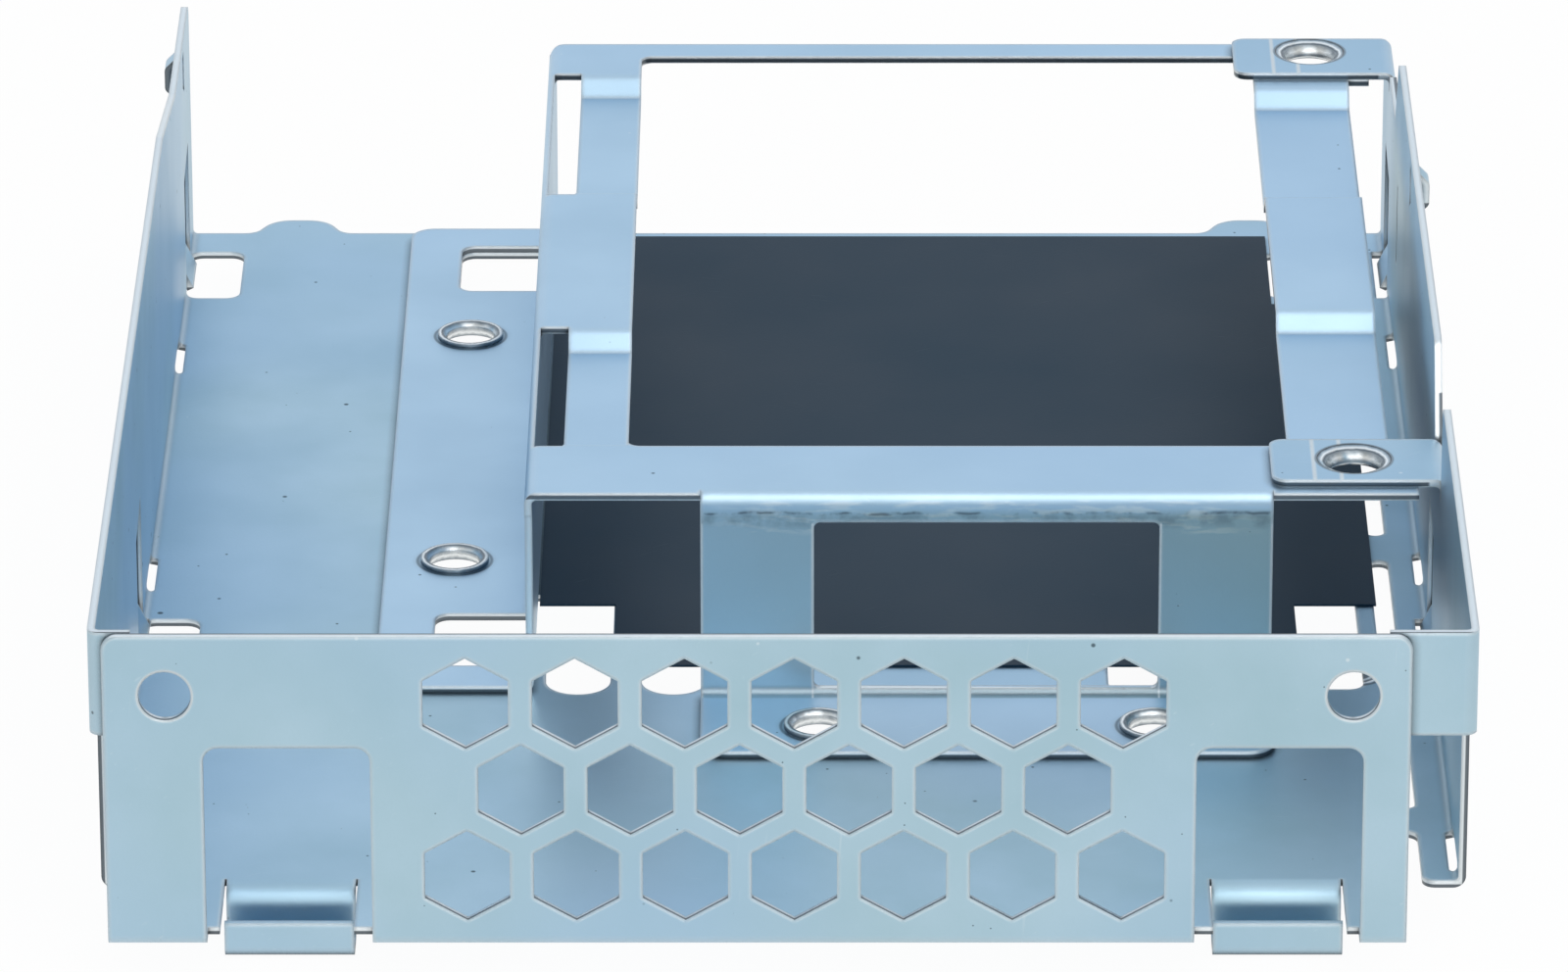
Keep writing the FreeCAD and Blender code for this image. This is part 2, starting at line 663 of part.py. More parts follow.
def middle_floor_cuts():
    """Openings in the floor under the drive and under the bracket's left foot."""
    cuts = [floor_cut(*LEFT_OPENING), floor_cut(*RIGHT_OPENING)]
    cuts.append(floor_cut(*REAR_OPENING_SIDES, *rear_span(REAR_OPENING_ENDS)))
    for x in ROUND_SLOT_X:
        half = ROUND_SLOT_WIDTH / 2
        cuts.append(floor_cut(x - half, x + half, *ROUND_SLOT_Y, half))
    front, rear = rear_span(REAR_FOOT_OPENING)
    left = BRACKET_OUT - LEFT_FOOT_OPENING_WIDTH
    cuts.append(floor_cut(left, BRACKET_IN + UNDER_FOOT_MARGIN, front - UNDER_FOOT_MARGIN, rear))
    return cuts


def tray():
    """The tray: one folded sheet."""
    body = fuse(tray_floor() + [left_wall(), right_wall(), front_wall()] + ears() + return_flanges())
    cuts = hook_cuts() + notch_cuts() + honeycomb_cuts() + front_hole_cuts()
    cuts += finger_windows() + lance_cuts() + finger_floor_cuts() + bend_slot_cuts()
    cuts += middle_floor_cuts() + [front_relief_cut()]
    cuts.append(wall_cut(1, *rear_span(WALL_SLIT_ENDS), *WALL_SLIT_HEIGHTS))
    body = fuse([body.cut(cuts)] + hooks() + fingers() + lances())
    body = add_collars(body, ear_hole_places(), EAR_TOP, -1)
    return add_collars(body, foot_hole_places(), -SHEET, 1)


# Bracket

def bracket_channel():
    """Top plate, left wall and left foot, before anything is cut."""
    section = folded([
        (WALL_IN - EAR_PLATE_GAP, PLATE_MIDDLE, 0),
        (BRACKET_OUT + SHEET / 2, PLATE_MIDDLE, BEND),
        (BRACKET_OUT + SHEET / 2, SHEET / 2, BEND),
        (BRACKET_OUT - LEFT_FOOT, SHEET / 2, 0),
    ])
    return prism("y", section, BRACKET_FRONT, BRACKET_END)


def bracket_outline(left, low, high, corner):
    """Block of the bracket's outline between two heights, with its rear left corner rounded."""
    outline = [
        (left, BRACKET_FRONT, 0),
        (WALL_IN, BRACKET_FRONT, 0),
        (WALL_IN, BRACKET_END, 0),
        (left, BRACKET_END, corner),
    ]
    return prism("z", outline, low, high)


def plate_cuts():
    """Cuts through the plate: its window, the edge between the ears and the room above the leg."""
    low = PLATE_TOP - SHEET - OVERLAP
    high = PLATE_TOP + OVERLAP
    window_right = STRIP_RIGHT_END - STRIP_RIGHT
    window = rectangle(STRIP_LEFT_END, window_right, CROSS_END, BRACKET_END - CROSS_REAR, WINDOW_CORNER)
    beside = rectangle(STRIP_RIGHT_END, WALL_IN, EAR_FRONTS[0] + EAR_LENGTH, EAR_FRONTS[1])
    leg_gap = rectangle(LEG_LEFT, LEG_RIGHT, BRACKET_FRONT - OVERLAP, BRACKET_FRONT + OUTER_BEND)
    return [prism("z", corners, low, high) for corners in (window, beside, leg_gap)]


def left_foot_cuts():
    """Openings through the left foot and its bend, and the room ahead of the foot."""
    left = BRACKET_OUT - LEFT_FOOT_OPENING_WIDTH
    inner = BRACKET_IN + OVERLAP
    cuts = []
    for front, rear in (FRONT_FOOT_OPENING, rear_span(REAR_FOOT_OPENING)):
        corners = [
            (left, front, FLOOR_CORNER),
            (inner, front, 0),
            (inner, rear, 0),
            (left, rear, FLOOR_CORNER),
        ]
        cuts.append(prism("z", corners, -OVERLAP, LEFT_FOOT_OPENING_TOP))
    ahead = rectangle(BRACKET_OUT - LEFT_FOOT, BRACKET_IN + OUTER_BEND, BRACKET_FRONT, LEFT_FOOT_FRONT)
    return cuts + [prism("z", ahead, -OVERLAP, PLATE_TOP - OUTER_BEND - OVERLAP)]


def joggled_strips():
    """For each joggle: the two edges of its strip, and where it starts and ends."""
    left = (BRACKET_IN + JOGGLE_SLOT, STRIP_LEFT_END)
    right = (STRIP_RIGHT_END - STRIP_RIGHT, STRIP_RIGHT_END)
    return [
        left + (CROSS_END, CROSS_END + FRONT_JOGGLES[0]),
        left + rear_span(LEFT_REAR_JOGGLE),
        right + (CROSS_END, CROSS_END + FRONT_JOGGLES[1]),
        right + rear_span(RIGHT_REAR_JOGGLE),
    ]


def joggle_cuts():
    """Gaps in the plate that the joggled strips fill, with the slots beside the left bend."""
    cuts = []
    for left, right, front, rear in joggled_strips():
        start = BRACKET_IN if right == STRIP_LEFT_END else left
        corners = rectangle(start, right, front, rear)
        cuts.append(prism("z", corners, PLATE_TOP - SHEET - OVERLAP, PLATE_TOP + OVERLAP))
    return cuts


def joggles():
    """Strips of the plate pressed down between two slopes."""
    shapes = []
    low = PLATE_MIDDLE - JOGGLE
    radius = SHEET
    for left, right, front, rear in joggled_strips():
        section = folded([
            (front - SHEET, PLATE_MIDDLE, 0),
            (front + SHEET / 2, PLATE_MIDDLE, radius),
            (front + SHEET / 2 + JOGGLE, low, radius),
            (rear - SHEET / 2 - JOGGLE, low, radius),
            (rear - SHEET / 2, PLATE_MIDDLE, radius),
            (rear + SHEET, PLATE_MIDDLE, 0),
        ])
        shapes.append(prism("x", section, left, right))
    return shapes


def leg():
    """Front leg and front foot, with the window in the leg."""
    inner = BRACKET_FRONT + CROSS_FRONT / 2
    front = BRACKET_FRONT - FRONT_FOOT
    section = folded([
        (inner, PLATE_MIDDLE, 0),
        (BRACKET_FRONT + SHEET / 2, PLATE_MIDDLE, BEND),
        (BRACKET_FRONT + SHEET / 2, SHEET / 2, BEND),
        (front, SHEET / 2, 0),
    ])
    outline = [
        (LEG_LEFT, front, FRONT_FOOT_CORNER),
        (LEG_RIGHT, front, FRONT_FOOT_CORNER),
        (LEG_RIGHT, inner, 0),
        (LEG_LEFT, inner, 0),
    ]
    body = prism("x", section, LEG_LEFT, LEG_RIGHT).common(prism("z", outline, 0, PLATE_TOP))
    left = LEG_LEFT + LEG_WINDOW_INSETS[0]
    right = LEG_RIGHT - LEG_WINDOW_INSETS[1]
    window = rectangle(left, right, OUTER_BEND, PLATE_TOP - LEG_WINDOW_TOP, LEG_WINDOW_CORNER)
    return body.cut(prism("y", window, BRACKET_FRONT - OVERLAP, BRACKET_FRONT + SHEET + OVERLAP))


def bracket():
    """The bracket: one folded sheet."""
    level = PLATE_TOP - OUTER_BEND
    lower = bracket_outline(BRACKET_OUT - LEFT_FOOT, 0, level, LEFT_FOOT_CORNER)
    upper = bracket_outline(BRACKET_OUT, level, PLATE_TOP, BRACKET_CORNER)
    channel = bracket_channel().common(lower.fuse(upper))
    body = fuse([channel.cut(plate_cuts() + joggle_cuts() + left_foot_cuts()), leg()] + joggles())
    return body.cut(collar_holes(ear_hole_places(), PLATE_TOP) + collar_holes(foot_hole_places(), SHEET))


# Film

def film():
    """Insulating film on the floor under the drive."""
    left = BRACKET_IN + FILM_LEFT_GAP
    right = WALL_IN - FILM_RIGHT_GAP
    step = from_rear(FILM_STEP)
    rear = from_rear(FILM_REAR)
    outline = [
        (left + FILM_NOTCH_LEFT, FILM_FRONT, 0),
        (right - FILM_NOTCH_RIGHT, FILM_FRONT, 0),
        (right - FILM_NOTCH_RIGHT, FILM_NOTCH_REAR, 0),
        (right, FILM_NOTCH_REAR, 0),
        (right, step, 0),
        (right - FILM_STEP_WIDTH, step, 0),
        (right - FILM_STEP_WIDTH, rear, 0),
        (left, rear, 0),
        (left, FILM_NOTCH_REAR, 0),
        (left + FILM_NOTCH_LEFT, FILM_NOTCH_REAR, 0),
    ]
    return prism("z", outline, 0, FILM)


def main():
    """Write one STEP file for each piece, in the part's frame."""
    os.makedirs("parts", exist_ok=True)
    shift = FreeCAD.Vector(0, -(TRAY_LENGTH + LOBE_LENGTH) / 2, -HOOK_BOTTOM)
    pieces = {"tray": tray(), "drive_bracket": bracket(), "insulator_sheet": film()}
    for name, piece in pieces.items():
        piece.translate(shift)
        print(name, len(piece.Solids), piece.isValid(), round(piece.Volume, 1))
        piece.exportStep(f"parts/{name}.step")


main()
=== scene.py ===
# %% [markdown]
# # A folded-sheet drive caddy
#
# A hot swap drive caddy carries a small drive in a bay made for a large one. It is a tray folded from
# zinc-coated sheet steel, a bracket of the same steel riveted into it, and a black insulating film on
# the tray's floor. The shapes are already made as solids, so the work here is their finish, the light
# and the view. The frame is loaded first, because every later place is read from it.

# %% Load the frame
import math
import bpy
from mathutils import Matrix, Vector


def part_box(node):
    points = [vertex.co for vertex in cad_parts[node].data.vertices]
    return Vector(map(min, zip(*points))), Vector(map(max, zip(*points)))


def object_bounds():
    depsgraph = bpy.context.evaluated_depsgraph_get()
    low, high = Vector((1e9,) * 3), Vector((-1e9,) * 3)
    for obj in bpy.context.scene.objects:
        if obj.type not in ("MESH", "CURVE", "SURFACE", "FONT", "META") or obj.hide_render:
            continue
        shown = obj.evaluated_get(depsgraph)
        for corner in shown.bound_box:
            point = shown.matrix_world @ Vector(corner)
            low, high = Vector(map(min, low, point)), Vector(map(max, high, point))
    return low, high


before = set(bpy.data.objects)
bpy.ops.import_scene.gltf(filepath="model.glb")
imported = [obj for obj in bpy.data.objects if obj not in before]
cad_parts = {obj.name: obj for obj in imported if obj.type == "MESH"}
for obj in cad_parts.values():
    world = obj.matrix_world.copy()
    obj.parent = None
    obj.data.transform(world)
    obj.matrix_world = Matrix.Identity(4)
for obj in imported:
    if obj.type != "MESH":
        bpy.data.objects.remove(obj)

MM = 0.001
cad_low, cad_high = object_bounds()
print("caddy", [round((high - low) / MM, 1) for low, high in zip(cad_low, cad_high)], "mm")

# %% [markdown]
# ## The datum
#
# Marks on the caddy are placed in millimetres from one corner of the work: across from the middle,
# back from the front wall's outer face, and up from the top of the tray's floor. A sheet-metal drawing
# would be measured from the same faces. The film lies on the floor, so its underside gives the height.

# %% Datum
FRONT_FACE = cad_low[1]
FLOOR_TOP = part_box("insulator_sheet")[0][2]
SHEET = 0.6 * MM        # thickness of the steel
print("front face", round(FRONT_FACE / MM, 2), "mm; floor top", round(FLOOR_TOP / MM, 2), "mm")

# %% [markdown]
# ## A helper for node trees
#
# A material is a tree of nodes joined by links. Writing each node and link by hand takes many lines,
# so one small class adds a node, sets its sockets and joins it to others. A socket is given a number,
# a colour or another node's output, and the class finds out which. The same class serves for
# materials, for the world and for Geometry Nodes, because all of them are node trees.

# %% Node helper


class Tree:
    """Adds nodes to a node tree and joins them."""

    def __init__(self, tree):
        self.tree = tree

    def put(self, socket, value):
        """Joins the socket to another node's output, or sets it to a plain value."""
        if isinstance(value, bpy.types.NodeSocket):
            self.tree.links.new(value, socket)
        else:
            socket.default_value = value

    def add(self, kind, settings=None, sockets=None):
        """A node with its settings, and its input sockets by name or number."""
        node = self.tree.nodes.new(kind)
        for name, value in (settings or {}).items():
            setattr(node, name, value)
        for name, value in (sockets or {}).items():
            self.put(node.inputs[name], value)
        return node

    def math(self, operation, *values):
        node = self.add("ShaderNodeMath", {"operation": operation}, dict(enumerate(values)))
        return node.outputs[0]

    def product(self, first, *others):
        for other in others:
            first = self.math("MULTIPLY", first, other)
        return first

    def largest(self, first, *others):
        for other in others:
            first = self.math("MAXIMUM", first, other)
        return first

    def vector(self, operation, *values):
        node = self.add("ShaderNodeVectorMath", {"operation": operation}, dict(enumerate(values)))
        return node.outputs["Value" if operation == "LENGTH" else "Vector"]

    def scaled(self, vector, factor):
        node = self.add("ShaderNodeVectorMath", {"operation": "SCALE"}, {0: vector, "Scale": factor})
        return node.outputs["Vector"]

    def parts(self, vector):
        """The three parts of a vector."""
        return self.add("ShaderNodeSeparateXYZ", None, {0: vector}).outputs

    def ramp(self, value, low, high, first=0.0, last=1.0):
        """The value carried from the range low..high to first..last, and held at its ends."""
        node = self.add("ShaderNodeMapRange", None, dict(enumerate((value, low, high, first, last))))
        return node.outputs[0]

    def between(self, value, low, high, soft):
        """Mask of the values from low to high, with soft ends."""
        rise = self.ramp(value, low - soft, low + soft)
        return self.product(rise, self.ramp(value, high - soft, high + soft, 1.0, 0.0))

    def mix(self, factor, first, second, blend="MIX"):
        """Two colours mixed. The Mix node keeps its colour sockets at numbers 6 and 7."""
        node = self.add("ShaderNodeMix", {"data_type": "RGBA", "blend_type": blend},
                        {0: factor, 6: first, 7: second})
        return node.outputs[2]

    def noise(self, place, size, detail=2.0, seed=0.0, stretch=(1, 1, 1)):
        """Soft noise whose patches are about the size across, in the place's own unit."""
        spot = self.add("ShaderNodeMapping", None, {
            "Vector": place, "Location": (seed, seed, seed), "Scale": tuple(s / size for s in stretch)})
        node = self.add("ShaderNodeTexNoise", None, {
            "Vector": spot.outputs[0], "Scale": 1.0, "Detail": detail})
        return node.outputs["Fac"]

    def group(self, name, **sockets):
        """A node that holds the named shader group."""
        node = self.add("ShaderNodeGroup", {"node_tree": bpy.data.node_groups[name]}, sockets)
        return node.outputs


def linear(red, green, blue):
    """Linear colour of an sRGB colour given from 0 to 255."""
    parts = [part / 255 for part in (red, green, blue)]
    return tuple(part / 12.92 if part <= 0.04045 else ((part + 0.055) / 1.055) ** 2.4
                 for part in parts) + (1.0,)


print("sRGB 188 is", round(linear(188, 188, 188)[0], 2), "in linear light")

# %% [markdown]
# ## A helper for shader groups
#
# An effect that several finishes share, such as clouds or scratches, is built once as a node group
# with named inputs and outputs, and each finish places it with its own values. Copying its nodes into
# every material would work too, but a change would then have to be made in each of them. The helper
# makes the empty group and its sockets, and the lines after it fill the group.

# %% Group helper
SOCKETS = {"value": "NodeSocketFloat", "vector": "NodeSocketVector", "colour": "NodeSocketColor"}


def shader_group(name, inputs, outputs):
    """An empty shader group with named sockets, as its tree, its inputs and a call that sets its outputs."""
    group = bpy.data.node_groups.new(name, "ShaderNodeTree")
    for socket, (kind, value) in inputs.items():
        made = group.interface.new_socket(socket, in_out="INPUT", socket_type=SOCKETS[kind])
        made.default_value = value
    for socket, kind in outputs.items():
        group.interface.new_socket(socket, in_out="OUTPUT", socket_type=SOCKETS[kind])
    tree = Tree(group)
    given = tree.add("NodeGroupInput").outputs
    result = tree.add("NodeGroupOutput").inputs

    def give(**values):
        for socket, value in values.items():
            tree.put(result[socket], value)
        print("group", name, "with", len(group.nodes), "nodes")

    return tree, given, give


# %% [markdown]
# ## Clouds and grain
#
# Electroplated zinc with a pale blue passivation is never one flat tone. Over a few millimetres it
# drifts between a paler and a deeper blue, and up close the rolled steel under it gives a fine grain.
# The film is not flat either, only smoother. Three noises at their own scales do that. They are one
# group, because all three materials use it, each with its own size of cloud.

# %% Cloud group
GRAIN_SIZE = 0.28       # millimetres
tree, given, give = shader_group(
    "clouds", {"Place": ("vector", (0, 0, 0)), "Size": ("value", 14.0)},
    {"Cloud": "value", "Grain": "value", "Drift": "value"})
sized = tree.scaled(given["Place"], tree.math("DIVIDE", 1.0, given["Size"]))
cloud = tree.noise(sized, 1.0, detail=4.0)
drift = tree.noise(sized, 2.6, detail=1.0, seed=31.0)
grain = tree.noise(given["Place"], GRAIN_SIZE, detail=3.0, seed=7.0)
give(Cloud=tree.ramp(cloud, 0.32, 0.68), Grain=tree.ramp(grain, 0.25, 0.75),
     Drift=tree.ramp(drift, 0.38, 0.62))

# %% [markdown]
# ## Specks and scratches
#
# Handling leaves small dark specks and pits, a few bright nicks, and hair-fine scratches. A Voronoi
# texture scatters points through space: a distance to the nearest point that is under a small radius
# is a speck, and the cell's random colour says whether that cell has one and how large it is.
# Scratches are noise drawn out along one direction and cut off near its top, and a second, wide noise
# keeps them to patches. They run in three directions. One group gives them all.

# %% Marks group
tree, given, give = shader_group(
    "handling_marks",
    {"Place": ("vector", (0, 0, 0)), "Spacing": ("value", 6.0), "Share": ("value", 0.4)},
    {"Specks": "value", "Nicks": "value", "Scratches": "value"})


def dots(spacing, share, radius, seed):
    """Mask of small dots: the share of cells that have one, and the largest radius in millimetres."""
    moved = tree.add("ShaderNodeMapping", None, {
        "Vector": given["Place"], "Location": (seed, seed, seed)})
    cells = tree.add("ShaderNodeTexVoronoi", None, {
        "Vector": moved.outputs[0], "Scale": tree.math("DIVIDE", 1.0, spacing)})
    chance = tree.add("ShaderNodeSeparateColor", None, {0: cells.outputs["Color"]}).outputs
    wanted = tree.math("LESS_THAN", chance[0], share)
    reach = tree.product(chance[1], radius)
    apart = tree.product(cells.outputs["Distance"], spacing)
    inside = tree.ramp(tree.math("DIVIDE", apart, reach), 0.55, 1.0, 1.0, 0.0)
    return tree.product(inside, wanted)


SCRATCH_TURNS = ((0.2, 5.0), (1.25, 23.0), (-0.5, 57.0))        # turn in radians, and seed
SCRATCH_STRETCH = (0.09, 9.0, 1.6)
SCRATCH_PATCH = 11.0    # millimetres

specks = tree.largest(dots(given["Spacing"], given["Share"], 0.3, 3.0),
                      dots(tree.product(given["Spacing"], 0.5), given["Share"], 0.16, 17.0))
nicks = dots(tree.product(given["Spacing"], 1.3), given["Share"], 0.22, 41.0)
scratches = 0.0
for turn, seed in SCRATCH_TURNS:
    turned = tree.add("ShaderNodeMapping", None, {
        "Vector": given["Place"], "Rotation": (turn, turn, turn)})
    line = tree.noise(turned.outputs[0], 1.0, detail=1.0, seed=seed, stretch=SCRATCH_STRETCH)
    patch = tree.noise(given["Place"], SCRATCH_PATCH, detail=0.0, seed=seed)
    scratch = tree.product(tree.ramp(line, 0.73, 0.79), tree.ramp(patch, 0.54, 0.64))
    scratches = tree.largest(scratches, scratch)
give(Specks=specks, Nicks=nicks, Scratches=scratches)

# %% [markdown]
# ## Edges and crevices
#
# A sheared edge is never sharp: its corner is rolled over and worn bare, and it catches the light as a thin
# line. The Bevel node gives the normal that a rounded corner would have, without changing the mesh, and how
# far that normal leans from the face's own says how near the edge is. The materials paint that edge bright,
# which is partly the bare steel and partly a painted highlight. Where two sheets touch, shade falls in the
# crevice between them. Ambient Occlusion finds it when it looks only a short way, and the materials paint it
# in as painted shade. The two are told apart by that occlusion: an edge that isn't in a crevice gets the
# bright paint.

# %% Edge group
EDGE_SAMPLES = 4
tree, given, give = shader_group(
    "edge_wear_highlight_and_crevice_shade", {"Radius": ("value", 0.5 * MM), "Reach": ("value", 0.8 * MM)},
    {"Edge": "value", "Crevice": "value", "Normal": "vector"})
bevel = tree.add("ShaderNodeBevel", {"samples": EDGE_SAMPLES}, {"Radius": given["Radius"]})
facing = tree.add("ShaderNodeNewGeometry").outputs["Normal"]
lean = tree.vector("LENGTH", tree.vector("SUBTRACT", bevel.outputs[0], facing))
occlusion = tree.add("ShaderNodeAmbientOcclusion", {"samples": EDGE_SAMPLES}, {
    "Distance": given["Reach"]})
# Painted shade: high occlusion within the short reach marks where shade falls in a crevice, and the materials
# darken it.
crevice = tree.ramp(occlusion.outputs["AO"], 0.3, 0.95, 1.0, 0.0)
# Near an edge that isn't in a crevice the materials lay bare steel: partly the real worn edge, partly a
# painted highlight.
edge = tree.product(tree.ramp(lean, 0.06, 0.36), tree.math("SUBTRACT", 1.0, crevice))
give(Edge=edge, Crevice=crevice, Normal=bevel.outputs[0])

# %% [markdown]
# ## Rubbed places
#
# Where the press tool drags over a bend, and where the hooks slide in their bay, the coat is rubbed
# into wavy bright marks. They could be painted on by hand, but then they would need an image. The
# group makes a soft-sided block in space and fills it with streaks that run across the caddy. A
# material places as many blocks as it needs.

# %% Rub group
STREAK_STRETCH = (0.35, 1.0, 1.6)
tree, given, give = shader_group(
    "rubbed_block",
    {"Place": ("vector", (0, 0, 0)), "Middle": ("vector", (0, 0, 0)), "Half": ("vector", (1, 1, 1)),
     "Fineness": ("value", 1.0)},
    {"Rub": "value"})
offset = tree.vector("SUBTRACT", given["Place"], given["Middle"])
inside = tree.vector("DIVIDE", tree.vector("ABSOLUTE", offset), given["Half"])
furthest = tree.largest(*tree.parts(inside))
block = tree.ramp(furthest, 0.7, 1.0, 1.0, 0.0)
fine = tree.scaled(given["Place"], given["Fineness"])
streaks = tree.noise(fine, 0.8, detail=4.0, seed=11.0, stretch=STREAK_STRETCH)
give(Rub=tree.product(block, tree.ramp(streaks, 0.5, 0.62)))

# %% [markdown]
# ## Which faces are cut edges
#
# The faces along the thickness of the sheet were sheared after the coil was coated, so they are bare,
# bright steel. A short ray sent into the metal from each face tells them apart: from a broad side it
# comes out after one thickness, and from a sheared side it runs on through the sheet. Over a collar a
# ray from a broad side runs down the collar's wall, so level faces inside the tray are left out. A
# Geometry Nodes tree casts the rays and keeps the answer as an attribute, which the materials read. It
# leaves the shape as it is.

# %% Sheet probe


def sheet_probe(finish, inside):
    """A modifier's tree that marks the sheared faces of a folded sheet. Level faces are left out within
    inside, the reach across from the middle, and behind the front wall."""
    group = bpy.data.node_groups.new("sheet_probe_" + finish.name, "GeometryNodeTree")
    group.is_modifier = True
    group.interface.new_socket("Geometry", in_out="INPUT", socket_type="NodeSocketGeometry")
    for name, value in (("Sheet", SHEET), ("Inside", inside), ("Behind", FRONT_FACE + 2.5 * SHEET)):
        made = group.interface.new_socket(name, in_out="INPUT", socket_type="NodeSocketFloat")
        made.default_value = value
    group.interface.new_socket("Geometry", in_out="OUTPUT", socket_type="NodeSocketGeometry")
    tree = Tree(group)
    given = tree.add("NodeGroupInput").outputs
    place = tree.add("GeometryNodeInputPosition").outputs[0]
    facing = tree.add("GeometryNodeInputNormal").outputs["True Normal"]

    inward = tree.scaled(facing, -1.0)
    start = tree.vector("ADD", place, tree.scaled(inward, tree.product(given["Sheet"], 0.02)))
    ray = tree.add("GeometryNodeRaycast", None, {
        "Target Geometry": given["Geometry"], "Source Position": start,
        "Ray Direction": inward, "Ray Length": tree.product(given["Sheet"], 1.25)})

    x, y, z = tree.parts(place)
    level = tree.math("GREATER_THAN", tree.math("ABSOLUTE", tree.parts(facing)[2]), 0.99)
    within = tree.math("LESS_THAN", tree.math("ABSOLUTE", x), given["Inside"])
    behind = tree.math("GREATER_THAN", y, given["Behind"])
    broad = tree.largest(tree.product(level, within, behind), ray.outputs["Is Hit"])
    store = tree.add("GeometryNodeStoreNamedAttribute", {"domain": "FACE", "data_type": "FLOAT"}, {
        "Geometry": given["Geometry"], "Name": "sheared", "Value": tree.math("SUBTRACT", 1.0, broad)})

    real = tree.add("GeometryNodeRealizeInstances", None, {"Geometry": store.outputs["Geometry"]})
    painted = tree.add("GeometryNodeSetMaterial", None, {"Geometry": real.outputs[0], "Material": finish})
    tree.add("NodeGroupOutput", None, {0: painted.outputs[0]})
    print(group.name, "with", len(group.nodes), "nodes")
    return group


# %% [markdown]
# ## Collars
#
# Six collars are drawn from the tray, through the bracket, and rolled over, which rivets the two together.
# The punch polishes their mouths. The rings painted on them are painted highlights and painted reflections of
# the rolled lip, with a line of painted shade where the lip ends. How far a point lies from the nearest
# collar's axis is all that the rings need, and a colour ramp turns that into bands. It is a group, because
# the painted shade line shows on the bracket's feet too.

# %% Collar group
COLLARS = ((45.5, 49.65), (45.5, 139.0), (2.75, 37.65), (29.45, 37.65), (-27.15, 70.2),
           (-27.15, 117.9))     # across from the middle, and back from the front face
MOUTH = 3.0             # radius of a collar's rolled lip
# Colours of the painted highlight and reflection rings, by their part of the mouth's radius
REFLECTION_BANDS = ((0.62, (96, 108, 118)), (0.7, (236, 241, 244)), (0.76, (150, 160, 168)),
         (0.81, (84, 96, 106)), (0.87, (244, 248, 250)), (0.94, (150, 166, 178)),
         (1.0, (50, 62, 72)))
tree, given, give = shader_group(
    "collar_reflections_and_shade", {"Place": ("vector", (0, 0, 0))},
    {"Rings": "colour", "Mouth": "value", "Outline": "value"})
nearest = 100.0
for across, back in COLLARS:
    offset = tree.vector("SUBTRACT", given["Place"], (across, back, 0))
    nearest = tree.math("MINIMUM", nearest, tree.vector("LENGTH", tree.vector("MULTIPLY", offset, (1, 1, 0))))
wander = tree.ramp(tree.noise(given["Place"], 0.9, detail=2.0, seed=5.0), 0.0, 1.0, -0.1, 0.1)
bands = tree.add("ShaderNodeValToRGB", None, {
    0: tree.math("DIVIDE", tree.math("ADD", nearest, wander), MOUTH)})
while len(bands.color_ramp.elements) < len(REFLECTION_BANDS):
    bands.color_ramp.elements.new(0.5)
for element, (spot, colour) in zip(bands.color_ramp.elements, REFLECTION_BANDS):
    element.position = spot
    element.color = linear(*colour)
# Painted shade: a dark line where the rolled lip meets the sheet.
outline = tree.product(tree.ramp(nearest, MOUTH - 0.12, MOUTH - 0.02),
                       tree.ramp(nearest, MOUTH + 0.1, MOUTH + 0.24, 1.0, 0.0))
give(Rings=bands.outputs[0], Mouth=tree.ramp(nearest, MOUTH - 0.02, MOUTH + 0.02, 1.0, 0.0),
     Outline=outline)

# %% [markdown]
# ## Materials that are measured like the metal
#
# Every mark has its place on the real sheet, so the materials read the place of each point in
# millimetres from the datum. A flat map laid on the faces would do for a painted picture, but on
# folded sheet it would need a seam at each bend. Object coordinates have none, and they stay with the
# piece when it is moved.

# %% Material helpers


def new_material(name):
    """A new material, its tree and its Principled shader."""
    material = bpy.data.materials.new(name)
    material.use_nodes = True
    return material, Tree(material.node_tree), material.node_tree.nodes["Principled BSDF"]


def measured_place(tree):
    """Object coordinates in millimetres from the datum."""
    here = tree.add("ShaderNodeTexCoord").outputs["Object"]
    mapped = tree.add("ShaderNodeMapping", None, {
        "Vector": here, "Scale": (1 / MM, 1 / MM, 1 / MM),
        "Location": (0, -FRONT_FACE / MM, -FLOOR_TOP / MM)})
    return mapped.outputs[0]


# %% [markdown]
# ## Torn bands and painted shade on the cut edges
#
# A sheared face isn't bright all over. The punch first cuts a clean, bright band, and the rest tears off dark
# and rough. Which side tears depends on the side that the sheet was punched from. The tray was blanked from
# inside, so its tearing bands lie along its outer faces, except on its top rim and its ears. The bracket
# tears along the underside of its feet, and along the middle of its plate's edges. The dark colour of these
# bands also stands in for the shade along the cut edges, so they are partly painted shade. Under the
# bracket's feet they are partly painted contact shadow.

# %% Torn bands and painted shade
TRAY_HALF = 52.8        # from the middle to the side walls' outer faces
RIM = 21.65             # above this height the sheared faces are the walls' top edges
RIM_TORN_AND_SHADE = (0.42, 0.9)  # from the front face
EARS_TORN_AND_SHADE = (18.08, 18.4)
# Along the underside of the bracket's feet the dark band is partly painted contact shadow where the feet
# stand on the tray.
FOOT_TORN_AND_SHADOW = 0.37        # torn below this height
PLATE_TORN_AND_SHADE = (17.5, 17.85)
print("torn bands: ears", EARS_TORN_AND_SHADE, "plate", PLATE_TORN_AND_SHADE, "mm")


